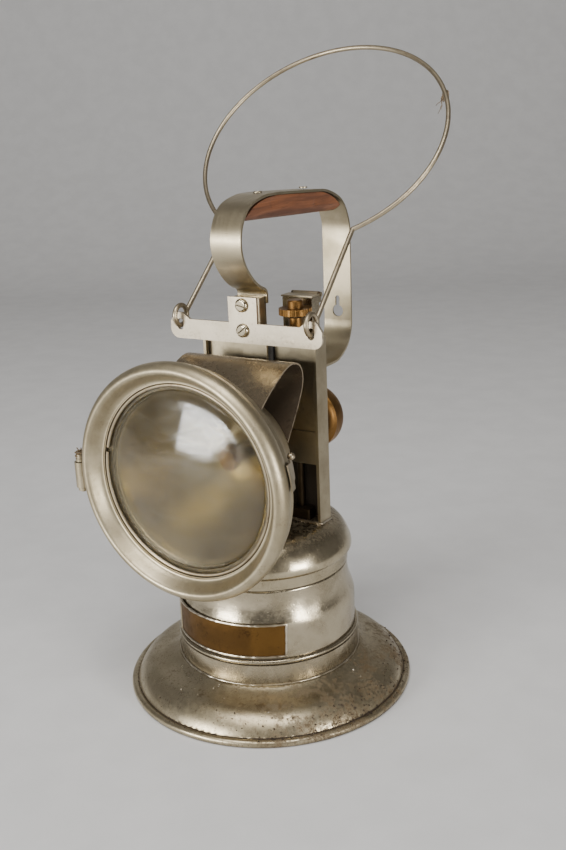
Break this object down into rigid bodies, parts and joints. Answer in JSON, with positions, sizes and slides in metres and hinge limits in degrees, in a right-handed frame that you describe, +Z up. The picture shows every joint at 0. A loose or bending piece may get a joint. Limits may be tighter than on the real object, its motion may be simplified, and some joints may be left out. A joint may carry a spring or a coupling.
{
  "type": "carbide lamp",
  "caption": "Nickel-plated carbide hand lamp: spun foot and gas generator, upright water tank, hinged lens door on a bowl reflector, wooden-grip strap handle and wire bail.",
  "frame": {"origin": "centre of the foot's flat bottom ring, on the surface the lamp stands on", "axes": "+Z up; the lens faces -Y; the bail's ears lie along X, the door's hinge on the -X side and the water valve on the +X side"},
  "size_m": [0.1512, 0.1906, 0.3261],
  "materials": {
    "nickel": "aged satin nickel plate, warm grey, fine brushing and tarnish",
    "nickel_bright": "polished nickel plate with small dents and tarnish",
    "brass": "dark aged brass",
    "plate_brass": "brown aged brass, blank",
    "steel_wire": "dull plated spring wire",
    "wood": "oiled reddish-brown hardwood",
    "glass": "clear, slightly yellowed domed lens",
    "reflector_finish": "dulled silvering with a golden tint",
    "cork": "tan cork ring, oily with age",
    "rubber": "black, hard with age",
    "felt": "grey-white felt",
    "ceramic": "fired lava (soapstone) burner tip",
    "tinned": "dull tinned sheet inside the generator"
  },
  "bodies": {
    "base": {"foot_flange": "nickel", "base_band": "nickel_bright", "generator_base": "nickel_bright", "chamber_floor": "tinned", "nameplate": "plate_brass", "nameplate_frame": "nickel_bright", "carbide_basket": "tinned", "basket_grate": "tinned"},
    "lantern": {"chamber_gasket": "rubber", "generator_cap": "nickel", "column_channel": "nickel", "water_tank": "nickel", "gas_chamber": "nickel", "gas_riser": "brass", "drip_tube": "brass", "drip_block": "brass", "vent_tube": "rubber", "valve_gland": "brass", "filler_neck": "nickel_bright", "filler_hinge_pin": "steel_wire", "filter_housing": "brass", "filter_felt": "felt", "burner_tube": "brass", "burner_holder": "brass", "burner_tip": "ceramic", "reflector_housing": "nickel", "reflector": "reflector_finish", "housing_nuts": "brass", "vent_hood": "nickel", "hinge_leaf": "nickel", "hinge_pin": "steel_wire", "door_catch": "steel_wire", "crossbar": "nickel", "crossbar_block": "nickel", "crossbar_screws": "nickel_bright", "handle_strap": "nickel", "strap_rivets": "nickel", "wood_grip": "wood", "grip_screws": "nickel"},
    "door": {"door_bezel": "nickel", "lens": "glass", "lens_gasket": "cork", "lens_retaining_wire": "steel_wire", "door_knuckle": "nickel"},
    "bail": {"bail": "steel_wire"},
    "valve": {"valve_knob": "brass"},
    "filler_lid": {"filler_lid": "nickel"},
    "filter_cap": {"filter_cap": "brass"}
  },
  "joints": [
    {"name": "lantern_lift", "type": "slide", "parent": "base", "child": "lantern", "axis": [0, 0, 1], "range_m": [0, 0.06]},
    {"name": "door_swing", "type": "hinge", "parent": "lantern", "child": "door", "pos_m": [-0.064, -0.0646, 0.1245], "axis": [0, 0, -1], "range_deg": [0, 110]},
    {"name": "bail_swing", "type": "hinge", "parent": "lantern", "child": "bail", "pos_m": [0, -0.0099, 0.1958], "axis": [1, 0, 0], "range_deg": [-85, 130]},
    {"name": "valve_turn", "type": "hinge", "parent": "lantern", "child": "valve", "pos_m": [0.019, 0.0077, 0.198], "axis": [0, 0, 1], "range_deg": [0, 360]},
    {"name": "filler_lid_swing", "type": "hinge", "parent": "lantern", "child": "filler_lid", "pos_m": [0.01475, 0.0264, 0.2035], "axis": [-1, 0, 0], "range_deg": [0, 105]},
    {"name": "filter_cap_pull", "type": "slide", "parent": "lantern", "child": "filter_cap", "axis": [0, 1, 0], "range_m": [0, 0.03]}
  ]
}
